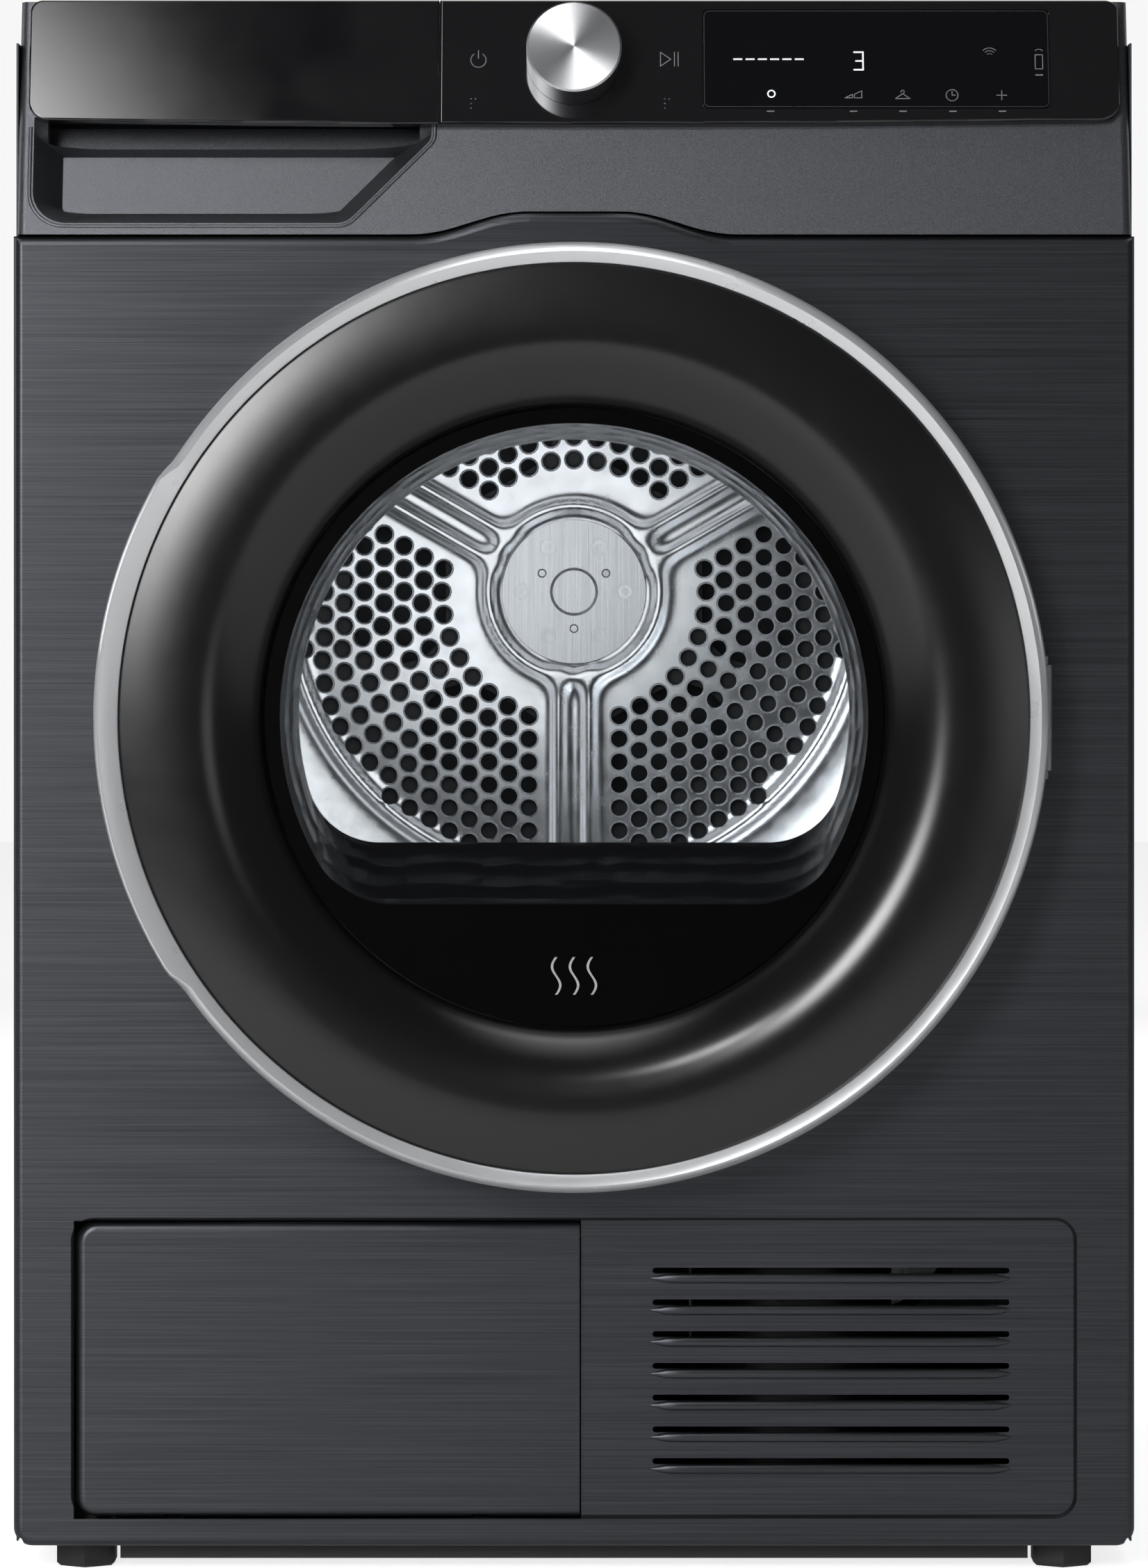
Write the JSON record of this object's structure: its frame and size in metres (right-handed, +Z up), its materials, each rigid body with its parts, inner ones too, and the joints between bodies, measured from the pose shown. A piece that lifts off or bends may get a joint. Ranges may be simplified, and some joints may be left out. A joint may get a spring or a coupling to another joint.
{
  "type": "clothes dryer",
  "caption": "Freestanding front-loading clothes dryer with a round glazed door, tilted console, water tank drawer, service flap, perforated drum and heat pump inside.",
  "frame": {"origin": "on the floor, under the middle of the object's box", "axes": "+Z up, front with the door towards -Y, +X to the right seen from the front"},
  "size_m": [0.6, 0.645, 0.845],
  "materials": {
    "dark_plastic": "moulded, fine texture",
    "side_paint": "dark graphite paint, fine orange peel",
    "galvanised": "galvanised sheet",
    "worktop_laminate": "dark graphite, fine grain",
    "brushed_front": "dark graphite, horizontally brushed, clear coat",
    "console_paint": "dark graphite metallic sparkle paint",
    "gloss_black": "piano black gloss",
    "display_glass": "smoked gloss",
    "circuit_board": "solder mask",
    "grey_plastic": "moulded grey",
    "felt": "wool felt",
    "belt_rubber": "matt rubber",
    "motor_steel": "bare steel can",
    "fin_aluminium": "thin fins",
    "compressor_paint": "black semi-gloss paint",
    "copper": "copper tube",
    "hinge_zinc": "zinc plated",
    "shaft_steel": "machined steel",
    "satin_silver": "satin silver trim",
    "smoked_cover": "smoked gloss moulding",
    "window_glass": "clear pane",
    "bowl_glass": "clear smoked bowl",
    "seal_rubber": "soft rubber",
    "tank_plastic": "translucent grey",
    "knob_metal": "spun face",
    "lever_plastic": "blue touch point",
    "drum_steel": "bright stainless",
    "hub_steel": "vertically brushed stainless"
  },
  "bodies": {
    "cabinet": {"base_frame": "dark_plastic", "left_side_panel": "side_paint", "right_side_panel": "side_paint", "rear_panel": "galvanised", "top_panel": "worktop_laminate", "front_panel": "brushed_front", "console_body": "console_paint", "console_cap": "gloss_black", "display_window": "display_glass", "control_board": "circuit_board", "front_bulkhead": "grey_plastic", "drum_seals": "felt", "rear_bulkhead": "galvanised", "rear_air_duct": "galvanised", "drive_belt": "belt_rubber", "motor_body": "motor_steel", "evaporator": "fin_aluminium", "condenser": "fin_aluminium", "heat_exchanger_housing": "grey_plastic", "compressor": "compressor_paint", "refrigerant_pipes": "copper", "drain_pump": "dark_plastic", "drain_spigot": "dark_plastic", "tank_guide": "grey_plastic", "cord_gland": "dark_plastic", "door_latch": "dark_plastic", "hinge_bracket": "hinge_zinc", "inner_cover": "grey_plastic", "roller_axles": "shaft_steel", "panel_screws": "shaft_steel"},
    "door": {"door_ring": "satin_silver", "door_cover": "smoked_cover", "door_window": "window_glass", "door_inner_frame": "dark_plastic", "door_bowl": "bowl_glass", "door_gasket": "seal_rubber", "door_hinge_arm": "hinge_zinc"},
    "tank_drawer": {"drawer_front": "gloss_black", "water_tank": "tank_plastic"},
    "knob": {"knob": "knob_metal"},
    "service_flap": {"service_flap": "brushed_front"},
    "cover_lock_left": {"cover_lock_left": "lever_plastic"},
    "cover_lock_right": {"cover_lock_right": "lever_plastic"},
    "drum": {"drum_shell": "drum_steel", "drum_back": "drum_steel", "drum_lifters": "grey_plastic", "hub_plate": "hub_steel", "hub_fasteners": "shaft_steel", "drum_shaft": "shaft_steel"},
    "motor_rotor": {"motor_rotor": "shaft_steel", "fan_impeller": "dark_plastic"},
    "tension_arm": {"tension_arm": "hinge_zinc"},
    "idler_pulley": {"idler_pulley": "dark_plastic"},
    "support_roller_left": {"support_roller_left": "belt_rubber"},
    "support_roller_right": {"support_roller_right": "belt_rubber"},
    "lint_filter": {"lint_filter": "lever_plastic"},
    "foot_front_left": {"foot_front_left": "dark_plastic"},
    "foot_front_right": {"foot_front_right": "dark_plastic"},
    "foot_rear_left": {"foot_rear_left": "dark_plastic"},
    "foot_rear_right": {"foot_rear_right": "dark_plastic"}
  },
  "joints": [
    {"name": "door_hinge", "type": "hinge", "parent": "cabinet", "child": "door", "pos_m": [0.248, -0.3, 0.458], "axis": [0, 0, 1], "range_deg": [0, 150]},
    {"name": "tank_slide", "type": "slide", "parent": "cabinet", "child": "tank_drawer", "axis": [0, -1, 0], "range_m": [0, 0.42]},
    {"name": "knob_turn", "type": "hinge", "parent": "cabinet", "child": "knob", "pos_m": [0, -0.25252, 0.80921], "axis": [0, -0.9659, 0.2588], "continuous": true},
    {"name": "flap_hinge", "type": "hinge", "parent": "cabinet", "child": "service_flap", "pos_m": [-0.13, -0.272, 0.0346], "axis": [1, 0, 0], "range_deg": [0, 92]},
    {"name": "cover_lock_left_turn", "type": "hinge", "parent": "cabinet", "child": "cover_lock_left", "pos_m": [-0.205, -0.2427, 0.162], "axis": [0, 1, 0], "range_deg": [0, 90]},
    {"name": "cover_lock_right_turn", "type": "hinge", "parent": "cabinet", "child": "cover_lock_right", "pos_m": [-0.063, -0.2427, 0.162], "axis": [0, 1, 0], "range_deg": [-90, 0]},
    {"name": "drum_spin", "type": "hinge", "parent": "cabinet", "child": "drum", "pos_m": [0, 0.03, 0.524], "axis": [0, 1, 0], "continuous": true},
    {"name": "motor_spin", "type": "hinge", "parent": "cabinet", "child": "motor_rotor", "pos_m": [0.17, 0.15, 0.15], "axis": [0, 1, 0], "continuous": true},
    {"name": "tension_swing", "type": "hinge", "parent": "cabinet", "child": "tension_arm", "pos_m": [0.12, 0.074, 0.095], "axis": [0, 1, 0], "range_deg": [-8, 0], "stiffness_Nm_per_rad": 2, "springref_deg": 17.19},
    {"name": "idler_spin", "type": "hinge", "parent": "tension_arm", "child": "idler_pulley", "pos_m": [0.088, 0.062, 0.15641], "axis": [0, 1, 0], "continuous": true},
    {"name": "roller_left_spin", "type": "hinge", "parent": "cabinet", "child": "support_roller_left", "pos_m": [-0.18549, -0.188, 0.25909], "axis": [0, 1, 0], "continuous": true},
    {"name": "roller_right_spin", "type": "hinge", "parent": "cabinet", "child": "support_roller_right", "pos_m": [0.18549, -0.188, 0.25909], "axis": [0, 1, 0], "continuous": true},
    {"name": "filter_lift", "type": "slide", "parent": "cabinet", "child": "lint_filter", "axis": [0, 0, 1], "range_m": [0, 0.16]},
    {"name": "foot_front_left_screw", "type": "slide", "parent": "cabinet", "child": "foot_front_left", "axis": [0, 0, -1], "range_m": [0, 0.015]},
    {"name": "foot_front_right_screw", "type": "slide", "parent": "cabinet", "child": "foot_front_right", "axis": [0, 0, -1], "range_m": [0, 0.015]},
    {"name": "foot_rear_left_screw", "type": "slide", "parent": "cabinet", "child": "foot_rear_left", "axis": [0, 0, -1], "range_m": [0, 0.015]},
    {"name": "foot_rear_right_screw", "type": "slide", "parent": "cabinet", "child": "foot_rear_right", "axis": [0, 0, -1], "range_m": [0, 0.015]}
  ],
  "couplings": [
    {"joint": "motor_spin", "follows": "drum_spin", "ratio": 31.889},
    {"joint": "idler_spin", "follows": "drum_spin", "ratio": -20.7},
    {"joint": "roller_left_spin", "follows": "drum_spin", "ratio": -7.9722},
    {"joint": "roller_right_spin", "follows": "drum_spin", "ratio": -7.9722}
  ]
}
